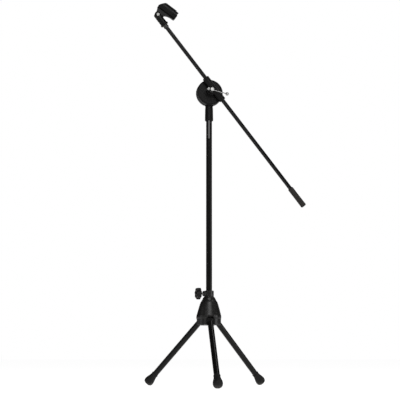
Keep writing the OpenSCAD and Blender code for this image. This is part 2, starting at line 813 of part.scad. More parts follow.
hub_body();
hinge_pins();
knob_insert();
clamp_pad();
base_knob();
knob_stud();
knob_ferrule();
leg_plug(leg_turns[0]);  // leg_plug_1
leg_plug(leg_turns[1]);  // leg_plug_2
leg_plug(leg_turns[2]);  // leg_plug_3
leg_tube(leg_turns[0]);  // leg_tube_1
leg_tube(leg_turns[1]);  // leg_tube_2
leg_tube(leg_turns[2]);  // leg_tube_3
rubber_foot(leg_turns[0]);  // rubber_foot_1
rubber_foot(leg_turns[1]);  // rubber_foot_2
rubber_foot(leg_turns[2]);  // rubber_foot_3
mast_lower_tube();
mast_upper_tube();
mast_coupler();
mast_end_plug();
mast_top_stud();
swivel_head();
neck_insert();
clutch_nut();
friction_washer();
front_clutch_half();
pressure_cup();
clutch_bolt();
tee_bar();
tee_ball(-bar_short);  // tee_ball_left
tee_ball(bar_long);  // tee_ball_right
boom_tube();
boom_stud();
boom_grip();
clip_base();
clip_insert();
clip_barrel();
clip_screw();
clip_nut();
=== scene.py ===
"""Looks of a boom microphone stand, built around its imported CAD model.

Shapes are written in millimetres, each in the local frame of the piece it belongs to.
A moulded piece is a distance field whose zero surface becomes a mesh of quads, and a
turned piece is an outline spun round its axis. The last number given to union, both, cut
and drum is the radius that rounds the edge they make, in millimetres.
"""

import json
import math

import bpy
import numpy as np
from mathutils import Matrix, Vector


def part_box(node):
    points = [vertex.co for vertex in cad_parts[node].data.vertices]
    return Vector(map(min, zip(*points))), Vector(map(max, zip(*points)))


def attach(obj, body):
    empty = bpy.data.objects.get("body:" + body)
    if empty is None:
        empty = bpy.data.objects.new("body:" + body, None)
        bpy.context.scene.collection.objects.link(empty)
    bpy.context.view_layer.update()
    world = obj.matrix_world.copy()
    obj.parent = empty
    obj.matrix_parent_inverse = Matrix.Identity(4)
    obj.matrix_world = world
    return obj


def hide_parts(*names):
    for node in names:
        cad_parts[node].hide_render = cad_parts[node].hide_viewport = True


MM = 0.001

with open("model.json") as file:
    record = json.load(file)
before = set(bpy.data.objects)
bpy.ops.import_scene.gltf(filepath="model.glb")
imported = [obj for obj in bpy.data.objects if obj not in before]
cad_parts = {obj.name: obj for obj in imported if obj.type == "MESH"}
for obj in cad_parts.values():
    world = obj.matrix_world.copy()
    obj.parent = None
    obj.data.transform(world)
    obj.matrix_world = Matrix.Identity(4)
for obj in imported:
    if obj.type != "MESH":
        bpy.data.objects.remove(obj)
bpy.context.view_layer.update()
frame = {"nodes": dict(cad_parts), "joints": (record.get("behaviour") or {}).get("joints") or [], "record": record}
joints = {j["name"]: j for j in frame["joints"]}
mounts = {m["name"]: m for m in frame["record"]["mounts"]}

# ---- Driving sizes, in millimetres, as in the CAD model ---------------------

HUB_Z, STEP_Z, COLLAR_Z, COLLAR_TOP = 188.0, 215.0, 276.0, 296.0
SKIRT_R, BELL_R, BELL_TOP_R, COLLAR_R = 37.4, 38.0, 17.0, 15.0
ARCH_R, ARCH_Z, ARCH_LIP = 13.0, 203.0, 2.6
PANEL_W, PANEL_T, PANEL_TOP = 33.0, 2.0, 268.0
CORE_R, WALL = 16.0, 3.0
HINGE_R, HINGE_Z, LEG_R, SLOT_W, SWEEP_R = 26.0, 205.0, 9.0, 19.2, 9.6
FOOT_REACH, FOOT_R, FOOT_RISE = 208.0, 15.0, 14.1
BORE_R = 9.55
KNOB_START, KNOB_T, KNOB_R, KNOB_LOBES, LOBE_R = 29.0, 14.0, 18.8, 7, 4.6
KNOB_BOSS_R, KNOB_BOSS_END, INSERT_R = 8.5, 20.0, 5.5
DISC_R, DISC_T, DISC_RIBS, RIB_DEPTH = 42.5, 12.0, 64, 0.9
SPLIT_Y, FRONT_Y, FACE_Y, BOOM_Y, BOSS_Y = -4.0, -5.0, -17.0, -26.0, -34.0
BOSS_R, BOLT_BORE_R, CUP_R, CUP_T = 13.0, 4.05, 9.0, 4.8
HEAD_Y, HEAD_T, HEAD_R, BAR_R, BALL_R = -40.8, 13.0, 6.0, 1.5, 5.5
NECK_Z, NECK_TOP_Z, NECK_R = -91.6, -43.5, 13.4
NECK_POCKET_TOP = -46.8
BOOM_OFFSET, BOOM_R, BOOM_BORE_R = 14.0, 6.35, 6.4
SLEEVE_R, SLEEVE_LENGTH = 11.0, 92.0
BOOM_DOWN, GRIP_LENGTH, GRIP_R = 480.0, 74.0, 9.2
PIVOT_S, SLOT_S, BASE_S, BASE_R, FORK_GAP = 300.7, 289.3, 262.0, 11.0, 10.6
BASE_FOOT_R, BASE_FOOT_H = 13.0, 5.0
BARREL_RISE, BARREL_R, BARREL_BORE_R, BARREL_END = 36.6, 16.2, 13.0, 49.5
BARREL_START, SLIT_W, TONGUE_T, EYE_R = -24.0, 9.0, 10.0, 10.3

# ---- Local frames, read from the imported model's joints ----------------------


def local_frame(origin, x_axis, z_axis):
    """Matrix from millimetres in a local frame to metres in the stand's frame."""
    z = Vector(z_axis).normalized()
    x = Vector(x_axis)
    x = (x - z * x.dot(z)).normalized()
    turn = Matrix((x, z.cross(x), z)).transposed().to_4x4()
    return Matrix.Translation(Vector(origin)) @ turn @ Matrix.Scale(MM, 4)


UP = Vector((0, 0, 1))
mast_x, mast_y = joints["head_turn"]["pos_m"][:2]
stand = local_frame((mast_x, mast_y, 0), (1, 0, 0), UP)

back = -Vector(joints["clutch_tilt"]["axis"])
right = back.cross(UP)
head = local_frame(joints["clutch_tilt"]["pos_m"], right, UP)

boom_up = Vector(joints["boom_slide"]["axis"])
across = back.cross(boom_up)
clutch = Vector(joints["clutch_tilt"]["pos_m"])
boom = local_frame(clutch + (across * BOOM_OFFSET + back * BOOM_Y) * MM, across, boom_up)

barrel_out = Vector(mounts["microphone_clip"]["axis"])
clip = local_frame(joints["clip_tilt"]["pos_m"], barrel_out, barrel_out.cross(back))

knob_out = Vector(joints["knob_turn"]["axis"])
knob = local_frame(joints["knob_turn"]["pos_m"], -UP, knob_out)
knob_height = joints["knob_turn"]["pos_m"][2] / MM

leg_joints = [joints[f"leg_{k}_fold"] for k in (1, 2, 3)]
leg_turns = [math.atan2(-j["axis"][0], j["axis"][1]) for j in leg_joints]
leg_spread = math.atan2(FOOT_REACH - HINGE_R, HINGE_Z - FOOT_RISE)
leg_length = math.hypot(FOOT_REACH - HINGE_R, HINGE_Z - FOOT_RISE)


def leg_frame(k):
    """Z runs down the middle of leg k from its hinge pin, X out and down across it."""
    outward = Vector((math.cos(leg_turns[k]), math.sin(leg_turns[k]), 0))
    down = outward * math.sin(leg_spread) - UP * math.cos(leg_spread)
    return local_frame(leg_joints[k]["pos_m"], -UP, down)


# ---- Distance fields ---------------------------------------------------------


def union(a, b, r=0.0):
    """Joins two fields, with a fillet of radius r where they meet."""
    if r <= 0:
        return np.minimum(a, b)
    corner = np.hypot(np.maximum(r - a, 0), np.maximum(r - b, 0))
    return np.maximum(r, np.minimum(a, b)) - corner


def both(a, b, r=0.0):
    """What two fields share, with its edge rounded to radius r."""
    return -union(-a, -b, r)


def cut(a, b, r=0.0):
    """Field a with b taken away, with the edge rounded to radius r."""
    return both(a, -b, r)


def slab(t, low, high):
    """The space between two planes across t."""
    return np.maximum(low - t, t - high)


def drum(u, v, t, r, low, high, edge=0.0):
    """A cylinder of radius r from low to high along t."""
    return both(np.hypot(u, v) - r, slab(t, low, high), edge)


def outline(u, v, points):
    """Distance to a closed outline in a plane, negative inside it."""
    nearest = np.full(np.shape(u), np.inf)
    inside = np.zeros(np.shape(u), bool)
    for (ax, ay), (bx, by) in zip(points, points[1:] + points[:1]):
        ex, ey = bx - ax, by - ay
        wx, wy = u - ax, v - ay
        t = np.clip((wx * ex + wy * ey) / (ex * ex + ey * ey), 0, 1)
        nearest = np.minimum(nearest, (wx - ex * t) ** 2 + (wy - ey * t) ** 2)
        if ay != by:
            inside ^= ((ay > v) != (by > v)) & (u < ax + (v - ay) * ex / ey)
    return np.where(inside, -1.0, 1.0) * np.sqrt(nearest)


def smooth_step(t, low, high):
    """0 below low and 1 above high, with an S-curve between."""
    t = np.clip((t - low) / (high - low), 0, 1)
    return t * t * (3 - 2 * t)


# ---- Meshes from fields ------------------------------------------------------


def net(field, low, high, cell):
    """Quads on a field's zero surface, with one point in each grid cell that it crosses."""
    low = np.array(low, float)
    count = np.ceil((np.array(high) - low) / cell).astype(int) + 1
    axes = [low[k] + cell * np.arange(count[k]) for k in range(3)]
    value = field(*np.meshgrid(*axes, indexing="ij"))
    inside = value < 0
    size = count - 1
    offsets = [(i, j, k) for i in (0, 1) for j in (0, 1) for k in (0, 1)]

    def at(a, o):
        return a[o[0] : o[0] + size[0], o[1] : o[1] + size[1], o[2] : o[2] + size[2]]

    filled = sum(at(inside, o).astype(np.int8) for o in offsets)
    mixed = (filled > 0) & (filled < 8)
    number = np.full(size, -1)
    number[mixed] = np.arange(mixed.sum())
    corner = {o: at(value, o)[mixed] for o in offsets}
    spot = np.zeros((int(mixed.sum()), 3))
    hits = np.zeros(len(spot))
    for a in offsets:
        for axis in range(3):
            if a[axis]:
                continue
            b = tuple(1 if k == axis else a[k] for k in range(3))
            change = (corner[a] < 0) != (corner[b] < 0)
            point = np.tile(np.array(a, float), (int(change.sum()), 1))
            point[:, axis] = corner[a][change] / (corner[a][change] - corner[b][change])
            spot[change] += point
            hits += change
    points = low + cell * (np.argwhere(mixed) + spot / hits[:, None])
    faces = []
    for axis in range(3):
        order = (axis, (axis + 1) % 3, (axis + 2) % 3)
        here, cells = inside.transpose(order), number.transpose(order)
        a, b = here[:-1, 1:-1, 1:-1], here[1:, 1:-1, 1:-1]
        i, j, k = np.nonzero(a != b)
        ring = [(j, k), (j + 1, k), (j + 1, k + 1), (j, k + 1)]
        quad = np.stack([cells[i, m, n] for m, n in ring], 1)
        outward = a[i, j, k]
        faces.append(np.where(outward[:, None], quad, quad[:, ::-1]))
    return points, np.concatenate(faces)


def gradient(field, points, h=0.02):
    """The field's slope at each point, measured over a step h each way."""
    x, y, z = points.T
    slope = [
        field(x + h, y, z) - field(x - h, y, z),
        field(x, y + h, z) - field(x, y - h, z),
        field(x, y, z + h) - field(x, y, z - h),
    ]
    return np.stack(slope, 1) / (2 * h)


def pulled(field, points, cell):
    """The points, each moved along the field's slope towards its zero surface."""
    slope = gradient(field, points)
    steep = np.maximum((slope**2).sum(1), 0.05)
    step = slope * (field(*points.T) / steep)[:, None]
    length = np.linalg.norm(step, axis=1, keepdims=True)
    return points - step * np.minimum(1, 0.5 * cell / np.maximum(length, 1e-9))


def evened(points, faces):
    """Each point moved half way to the middle of its neighbours."""
    a = faces.ravel()
    b = np.roll(faces, -1, axis=1).ravel()
    count = len(points)
    links = np.bincount(a, minlength=count) + np.bincount(b, minlength=count)
    middle = np.empty_like(points)
    for k in range(3):
        total = np.bincount(a, points[b, k], count) + np.bincount(b, points[a, k], count)
        middle[:, k] = total / links
    return (points + middle) / 2


def new_piece(name, points, faces, place, normals=None):
    """A smooth-shaded mesh object from points in a local frame."""
    turn = np.array(place.to_3x3())
    placed = points @ turn.T + np.array(place.translation)
    mesh = bpy.data.meshes.new(name)
    mesh.from_pydata(placed.tolist(), [], faces if isinstance(faces, list) else faces.tolist())
    mesh.shade_smooth()
    if normals is not None:
        outward = normals @ turn.T
        outward /= np.maximum(np.linalg.norm(outward, axis=1, keepdims=True), 1e-12)
        mesh.normals_split_custom_set_from_vertices(outward.tolist())
    piece = bpy.data.objects.new(name, mesh)
    bpy.context.scene.collection.objects.link(piece)
    return piece


def moulded(name, field, low, high, cell, place):
    """A piece whose surface is the field's zero surface, inside the box from low to high."""
    points, faces = net(field, low, high, cell)
    for _ in range(3):
        points = pulled(field, evened(points, faces), cell)
    for _ in range(4):
        points = pulled(field, points, cell)
    return new_piece(name, points, faces, place, gradient(field, points))


# ---- Meshes from turned outlines ---------------------------------------------


def rounded(corners, steps=5):
    """An open outline whose corners (x, y, radius) are rounded by arcs."""
    points = []
    for n, (x, y, r) in enumerate(corners):
        here = Vector((x, y))
        if r <= 0 or n in (0, len(corners) - 1):
            points.append((x, y))
            continue
        before = (Vector(corners[n - 1][:2]) - here).normalized()
        after = (Vector(corners[n + 1][:2]) - here).normalized()
        half = before.angle(after) / 2
        centre = here + (before + after).normalized() * (r / math.sin(half))
        start = here + before * (r / math.tan(half)) - centre
        sweep = math.pi - 2 * half
        side = 1 if before.cross(after) < 0 else -1
        for i in range(steps + 1):
            a = side * sweep * i / steps
            c, s = math.cos(a), math.sin(a)
            spot = Vector((start.x * c - start.y * s, start.x * s + start.y * c))
            points.append(tuple(centre + spot))
    return points


def turned(name, points, place, segments=96, closed=False):
    """Spins an outline of (radius, height) points round Z. Ends on the axis close it."""
    spots, faces, rows = [], [], []
    for r, z in points:
        if r < 1e-6:
            rows.append([len(spots)])
            spots.append((0, 0, z))
        else:
            rows.append(list(range(len(spots), len(spots) + segments)))
            for i in range(segments):
                a = 2 * math.pi * i / segments
                spots.append((r * math.cos(a), r * math.sin(a), z))
    pairs = list(zip(rows, rows[1:])) + ([(rows[-1], rows[0])] if closed else [])
    for low, high in pairs:
        for i in range(segments):
            j = (i + 1) % segments
            if len(low) == 1 and len(high) == 1:
                continue
            if len(low) == 1:
                faces.append([low[0], high[j], high[i]])
            elif len(high) == 1:
                faces.append([low[i], low[j], high[0]])
            else:
                faces.append([low[i], low[j], high[j], high[i]])
    piece = new_piece(name, np.array(spots, float), faces, place)
    piece.data.set_sharp_from_angle(angle=math.radians(40))
    return piece


# ---- Hub ---------------------------------------------------------------------

BELL_POWER, STEP_BLEND = 0.78, 9.0
COLLAR_ROOT, HOLLOW_TOP = 8.0, 254.0
PANEL_FADE_LOW, PANEL_FADE_HIGH = 15.0, 10.0
LIP_PROUD, LIP_PROUD_SKIRT, LIP_INNER = 0.9, 1.05, 20.0
LIP_START, LIP_OVER = 1.0, 4.0
ARCH_DEPTH = 6.0


def side_radius(z):
    """Radius of the hub's side: the bell's curve, running smoothly into the straight skirt."""
    share = np.clip((COLLAR_Z - z) / (COLLAR_Z - STEP_Z), 1e-3, 1.2)
    bell = BELL_TOP_R + (BELL_R - BELL_TOP_R) * share**BELL_POWER
    return SKIRT_R + (bell - SKIRT_R) * smooth_step(z, STEP_Z - STEP_BLEND, STEP_Z + STEP_BLEND)


def side_distance(rho, z):
    """Distance to the hub's side, allowing for its slope."""
    lean = side_radius(z - 0.5) - side_radius(z + 0.5)
    return (rho - side_radius(z)) / np.sqrt(1 + lean**2)


def leg_sweep(u, z):
    """Distance, in a leg's own plane, to the wedge between the leg folded and spread."""
    du, dz = u - HINGE_R, z - HINGE_Z
    folded, spread = -du, du * math.cos(leg_spread) + dz * math.sin(leg_spread)
    apex = np.hypot(du, dz)
    beside_folded = (folded > 0) & (dz < 0)
    beside_spread = (spread > 0) & (du * math.sin(leg_spread) - dz * math.cos(leg_spread) > 0)
    within = (folded <= 0) & (spread <= 0)
    nearest = [np.maximum(folded, spread), folded, spread]
    return np.select([within, beside_folded, beside_spread], nearest, apex)


def hub_field(x, y, z):
    """The hub in the stand's frame. Each leg adds a panel, a lipped arch, a slot and webs."""
    rho = np.hypot(x, y)
    side = side_distance(rho, z)
    shell = both(side, slab(z, HUB_Z, COLLAR_Z), 0.9)
    collar = drum(x, y, z, COLLAR_R, COLLAR_Z - COLLAR_ROOT, COLLAR_TOP, 1.2)
    shell = union(shell, collar, 2.0)
    beside_knob = y * knob_out.x - x * knob_out.y
    along_knob = x * knob_out.x + y * knob_out.y
    above_knob = z - knob_height
    boss = drum(beside_knob, above_knob, along_knob, KNOB_BOSS_R, 0, KNOB_BOSS_END, 0.8)
    shell = union(shell, boss, 1.2)
    hollow = both(both(rho - SKIRT_R + WALL, side + WALL + 1), CORE_R + WALL - rho)
    hollow = both(hollow, z - HOLLOW_TOP)
    fade_in = smooth_step(z, STEP_Z - PANEL_FADE_LOW, STEP_Z)
    fade_out = smooth_step(z, PANEL_TOP - PANEL_FADE_HIGH, PANEL_TOP)
    raised = side - PANEL_T * (fade_in - fade_out)
    webs = np.full(rho.shape, np.inf)
    slots = np.full(rho.shape, np.inf)
    for turn in leg_turns:
        c, s = math.cos(turn), math.sin(turn)
        u, v = x * c + y * s, np.abs(y * c - x * s)
        ahead = np.maximum(-u, 0)
        panel = both(raised, v - PANEL_W / 2 + ahead, 0.6)
        panel = both(panel, slab(z, STEP_Z - PANEL_FADE_LOW, PANEL_TOP), 0.3)
        shell = union(shell, panel, 0.4)
        over_arch = np.where(z > ARCH_Z, np.hypot(v, z - ARCH_Z), v)
        face = np.minimum(raised - LIP_PROUD, rho - SKIRT_R - LIP_PROUD_SKIRT)
        lip = both(over_arch - ARCH_R - ARCH_LIP, face, 0.5)
        lip = both(lip, slab(z, HUB_Z + LIP_START, STEP_Z + LIP_OVER), 0.4)
        shell = union(shell, both(lip, LIP_INNER - u), 0.5)
        arch = both(over_arch - ARCH_R, SKIRT_R - ARCH_DEPTH - u)
        slot = both(both(leg_sweep(u, z) - SWEEP_R, v - SLOT_W / 2), -u)
        slots = union(slots, union(arch, slot))
        webs = union(webs, both(v - ARCH_R - WALL, -u))
    shell = cut(shell, both(hollow, -webs, 1.5), 0.6)
    shell = cut(shell, slots, 0.7)
    shell = cut(shell, rho - BORE_R, 0.5)
    insert = np.hypot(beside_knob, above_knob) - INSERT_R
    return cut(shell, both(insert, -along_knob), 0.3)


def hub():
    wide = BELL_R + 3
    low, high = (-wide, -wide, HUB_Z - 3), (wide, wide, COLLAR_TOP + 3)
    piece = moulded("hub_shell", hub_field, low, high, 0.85, stand)
    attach(piece, "hub")
    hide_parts("hub_body")
    dress(piece, hub_black)


# ---- Clamping knob -----------------------------------------------------------

KNOB_CORE_INSET, KNOB_EDGE, KNOB_BORE_R, KNOB_BORE_STOP = 3.0, 3.5, 3.05, 4.0
DISH_R, DISH_DEPTH = 8.2, 1.2
CAP_R, CAP_CURVE_R, CAP_CURVE_DEPTH = 7.6, 28.8, 29.4


def knob_field(x, y, z):
    """A lobed knob with a dished outer face and a domed cap in the dish."""
    z = z - KNOB_START
    body = drum(x, y, z, KNOB_R - KNOB_CORE_INSET, 0, KNOB_T, KNOB_EDGE)
    for k in range(KNOB_LOBES):
        a = 2 * math.pi * k / KNOB_LOBES
        u = x - (KNOB_R - LOBE_R) * math.cos(a)
        v = y - (KNOB_R - LOBE_R) * math.sin(a)
        body = union(body, drum(u, v, z, LOBE_R, 0, KNOB_T, KNOB_EDGE), 1.8)
    body = cut(body, drum(x, y, z, DISH_R, KNOB_T - DISH_DEPTH, KNOB_T + 5, 0.3), 0.5)
    crown = np.sqrt(x**2 + y**2 + (z - KNOB_T + CAP_CURVE_DEPTH) ** 2) - CAP_CURVE_R
    body = union(body, both(crown, np.hypot(x, y) - CAP_R, 0.3))
    return cut(body, drum(x, y, z, KNOB_BORE_R, -5, KNOB_T - KNOB_BORE_STOP), 0.3)


def clamping_knob():
    wide = KNOB_R + 2.2
    low, high = (-wide, -wide, KNOB_START - 2), (wide, wide, KNOB_START + KNOB_T + 2)
    piece = moulded("lobed_knob", knob_field, low, high, 0.55, knob)
    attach(piece, "knob")
    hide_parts("base_knob")
    dress(piece, knob_black)


def ferrule():
    corners = [(3.02, 26.6, 0), (7.2, 26.6, 0.5), (8, 27.3, 0.3), (8, 28.9, 0.3), (3.02, 28.9, 0)]
    piece = turned("knob_collar", rounded(corners), knob, closed=True)
    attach(piece, "knob")
    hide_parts("knob_ferrule")
    dress(piece, zinc)


# ---- Feet --------------------------------------------------------------------

BOOT_LENGTH, BOOT_WALL, BEAD_LENGTH, BEAD_STEP = 31.0, 1.6, 2.8, 0.5
BOOT_STEPS, DOME_STEPS, DOME_RISE = 14, 8, 3.2
RIM_ANGLE, RIM_GROOVE_R = math.radians(33), 0.55


def boot_profile():
    """Half outline of a boot as (radius, distance from the hinge pin), closed on the axis."""
    lip = leg_length - BOOT_LENGTH
    lip_r = LEG_R + BOOT_WALL
    neck_r = lip_r - BEAD_STEP
    profile = [(0, lip), (lip_r, lip), (lip_r, lip + BEAD_LENGTH), (neck_r, lip + BEAD_LENGTH + 0.5)]
    for f in range(BOOT_STEPS + 1):
        swell = (FOOT_R - lip_r + BEAD_STEP) * (1 - math.cos(math.pi * f / BOOT_STEPS)) / 2
        profile.append((neck_r + swell, lip + 4 + (leg_length - lip - 4) * f / BOOT_STEPS))
    for degrees in range(4, 33, 4):
        a = math.radians(degrees)
        profile.append((FOOT_R * math.cos(a), leg_length + FOOT_R * math.sin(a)))
    edge_r, edge_s = profile[-1]
    for f in range(1, DOME_STEPS + 1):
        left = 1 - f / DOME_STEPS
        profile.append((edge_r * left, edge_s + DOME_RISE * (1 - left**2)))
    return profile


def boot_field_at(k):
    """A boot's field in its leg's frame, ending flat on the floor and grooved round its end."""
    profile = boot_profile()
    bottom = np.array(leg_frame(k).to_3x3())[2] / MM
    height = leg_joints[k]["pos_m"][2] / MM
    rim_r, rim_s = FOOT_R * math.cos(RIM_ANGLE), FOOT_R * math.sin(RIM_ANGLE)

    def field(x, y, z):
        r = np.hypot(x, y)
        body = outline(r, z, profile)
        rim = np.hypot(r - rim_r, z - leg_length - rim_s)
        body = cut(body, rim - RIM_GROOVE_R, 0.2)
        body = cut(body, drum(x, y, z, LEG_R, 0, leg_length - 8), 0.4)
        below = -(height + bottom[0] * x + bottom[1] * y + bottom[2] * z)
        return both(body, below + 0.02, 0.4)

    return field


def boots():
    wide = FOOT_R + 3
    for k in range(3):
        low, high = (-wide, -wide, leg_length - 34), (wide, wide, leg_length + 18)
        piece = moulded(f"rubber_boot_{k + 1}", boot_field_at(k), low, high, 0.6, leg_frame(k))
        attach(piece, f"leg_{k + 1}")
        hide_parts(f"rubber_foot_{k + 1}")
        dress(piece, boot_rubber)


# ---- Clutch ------------------------------------------------------------------

RING_IN, RING_OUT, RING_DEPTH = 4.6, 3.6, 0.5
REAR_RING_DEPTH, REAR_BOSS_START, REAR_BOSS_RISE = 0.6, 2.0, 8.0
KERF, CUP_CLEARANCE = 0.8, 0.4
NECK_TAPER, NECK_STEP, NECK_STEP_START, NECK_STEP_END = 0.7, 0.5, 6.2, 5.4
RIB_TAPER, RIB_TAPER_LENGTH, RIB_LENGTH = 2.3, 34.0, 33.0
NUT_POCKET, NUT_POCKET_Y = 6.6, 10.0
KEYWAY = (8.0, 12.0, 0.6)
CUP_TOP_R, CUP_CHAMFER = 7.6, 1.4


def ribbed_rim(x, z):
    """Radius of a disc's edge round the clutch axis, with its rows of grip ribs."""
    wave = 0.5 - 0.5 * np.cos(DISC_RIBS * np.arctan2(z, x))
    return DISC_R - RIB_DEPTH * smooth_step(wave, 0.35, 0.95)


def disc(x, y, z, front, rear):
    """A disc with a ribbed rim and rounded edges."""
    return both(np.hypot(x, z) - ribbed_rim(x, z), slab(y, front, rear), 0.7)


def ring_groove(x, y, z, low, high):
    """A narrow groove round a disc's face, from low to high along the clutch axis."""
    return both(slab(y, low, high), slab(np.hypot(x, z), DISC_R - RING_IN, DISC_R - RING_OUT))


def hexagon(u, v, half_width):
    """Distance to a hexagon whose flat sides are this far from its middle."""
    nearest = np.full(np.shape(u), -np.inf)
    for k in range(6):
        a = math.radians(60 * k + 30)
        nearest = np.maximum(nearest, u * math.cos(a) + v * math.sin(a) - half_width)
    return nearest


def boom_axes(x, y, z):
    """Head coordinates turned into the boom's: across it, behind it, along it."""
    c, s = boom_up.dot(UP), -boom_up.dot(right)
    return x * c + z * s - BOOM_OFFSET, y - BOOM_Y, z * c - x * s


def front_half_field(x, y, z):
    """The front disc with its boss and the boom's sleeve, split along the sleeve."""
    u, v, s = boom_axes(x, y, z)
    body = disc(x, y, z, FACE_Y, FRONT_Y)
    body = cut(body, ring_groove(x, y, z, FACE_Y - 5, FACE_Y + RING_DEPTH), 0.25)
    boss = drum(x, z, y, BOSS_R, BOSS_Y, FACE_Y + 3, 1.0)
    sleeve = drum(u, v, s, SLEEVE_R, -SLEEVE_LENGTH / 2, SLEEVE_LENGTH / 2, 1.0)
    body = union(body, union(boss, sleeve, 1.6), 1.8)
    body = cut(body, drum(u, v, s, BOOM_BORE_R, -60, 60), 0.5)
    body = cut(body, both(np.abs(v) - KERF, u), 0.2)
    body = cut(body, np.hypot(x, z) - BOLT_BORE_R, 0.2)
    return cut(body, drum(x, z, y, CUP_R + CUP_CLEARANCE, BOSS_Y - 10, BOSS_Y), 0.4)


def rear_half_field(x, y, z):
    """The rear disc, its boss and nut pocket, and the ribbed neck that takes the mast."""
    rho = np.hypot(x, z)
    rear = SPLIT_Y + DISC_T
    body = disc(x, y, z, SPLIT_Y, rear)
    body = cut(body, ring_groove(x, y, z, rear - REAR_RING_DEPTH, rear + 5), 0.25)
    body = union(body, drum(x, z, y, BOSS_R, REAR_BOSS_START, rear + REAR_BOSS_RISE, 1.0), 1.6)
    radius = NECK_R - NECK_TAPER * np.clip((z - NECK_Z) / (NECK_TOP_Z - NECK_Z), 0, 1)
    step = smooth_step(z, NECK_TOP_Z - NECK_STEP_START, NECK_TOP_Z - NECK_STEP_END)
    radius = radius - NECK_STEP * step
    neck = both(np.hypot(x, y) - radius, slab(z, NECK_Z, NECK_TOP_Z + 3), 0.9)
    rib_r = NECK_R - NECK_TAPER - RIB_TAPER * np.clip((z - NECK_TOP_Z) / RIB_TAPER_LENGTH, 0, 1)
    rib = both(np.hypot(x, y) - rib_r, slab(z, NECK_TOP_Z, NECK_TOP_Z + RIB_LENGTH), 0.8)
    rib = both(rib, SPLIT_Y + 1 - y)
    body = union(body, union(neck, rib, 0.5), 1.0)
    body = cut(body, drum(x, y, z, BORE_R, NECK_Z - 5, NECK_POCKET_TOP), 0.5)
    body = cut(body, rho - BOLT_BORE_R, 0.2)
    body = cut(body, both(hexagon(x, z, NUT_POCKET), NUT_POCKET_Y - y), 0.3)
    key_in, key_out, key_depth = KEYWAY
    key = both(slab(rho, key_in, key_out), slab(y, SPLIT_Y - 5, SPLIT_Y + key_depth))
    return cut(body, key, 0.2)


def clutch_halves():
    wide = DISC_R + 9
    low, high = (-wide, -40, -wide), (wide, -3, wide)
    front = moulded("front_disc", front_half_field, low, high, 0.7, head)
    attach(front, "clamp")
    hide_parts("front_clutch_half")
    dress(front, clutch_black)
    wide = DISC_R + 2
    low, high = (-wide, -16, NECK_Z - 2), (wide, 18, wide)
    rear = moulded("rear_disc_and_neck", rear_half_field, low, high, 0.7, head)
    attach(rear, "head")
    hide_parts("swivel_head")
    dress(rear, clutch_black)


def pressure_cup():
    screw = local_frame(clutch, right, -back)
    base = -BOSS_Y + 0.1
    corners = [
        (BOLT_BORE_R, base, 0),
        (CUP_R, base, 0.2),
        (CUP_R, base + CUP_T - CUP_CHAMFER, 0.5),
        (CUP_TOP_R, base + CUP_T, 0.5),
        (BOLT_BORE_R, base + CUP_T, 0),
    ]
    cup = turned("pressure_washer", rounded(corners), screw, closed=True)
    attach(cup, "cup")
    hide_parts("pressure_cup")
    dress(cup, clutch_black)


def bar_knobs():
    """The tee bar's two ball ends, each with a short neck towards the bolt."""
    bar = Vector(joints["tee_bar_slide"]["axis"])
    for node in ("tee_ball_left", "tee_ball_right"):
        low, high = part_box(node)
        centre = (Vector(low) + Vector(high)) / 2
        inner = 1 if (clutch - centre).dot(bar) > 0 else -1
        place = local_frame(centre, back, bar * inner)
        reach = math.sqrt(BALL_R**2 - 2.5**2)
        angles = [math.radians(a) for a in range(0, 153, 6)]
        ball = [(BALL_R * math.sin(a), -BALL_R * math.cos(a)) for a in angles]
        neck = [(2.5, reach), (2.3, reach + 0.45), (BAR_R + 0.02, reach + 0.45)]
        piece = turned(node.replace("tee_ball", "bar_knob"), ball + neck, place, 64)
        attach(piece, "bar")
        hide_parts(node)
        dress(piece, chrome)


# ---- Boom --------------------------------------------------------------------


def grip():
    start, end = -(BOOM_DOWN - GRIP_LENGTH), -BOOM_DOWN
    corners = [
        (BOOM_R, start, 0),
        (GRIP_R - 1.5, start, 0.5),
        (GRIP_R - 0.9, start - 1.6, 0.5),
        (GRIP_R - 0.15, start - 4.2, 3),
        (GRIP_R - 0.3, (start + end) / 2, 200),
        (GRIP_R, end + 9, 4),
        (GRIP_R, end, 3.4),
        (0, end, 0),
    ]
    piece = turned("foam_grip", rounded(corners, 7)[::-1], boom)
    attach(piece, "boom")
    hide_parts("boom_grip")
    dress(piece, grip_foam)


# ---- Microphone clip ---------------------------------------------------------

SOCKET_BORE_R, SOCKET_BORE_TOP = 9.4, 281.0
PIVOT_BORE_R, SCREW_HEAD_R, SCREW_HEAD_T = 2.52, 5.7, 1.6
CLIP_NUT_POCKET, CLIP_NUT_T = 4.1, 2.2
RIM_LENGTH, RIM_STEP = 12.0, 0.4
START_LEAN, START_CUT_X, START_CUT_Z = math.radians(56), 17.0, 9.0
END_STEP_LENGTH, END_STEP_Z = 10.2, 9.6


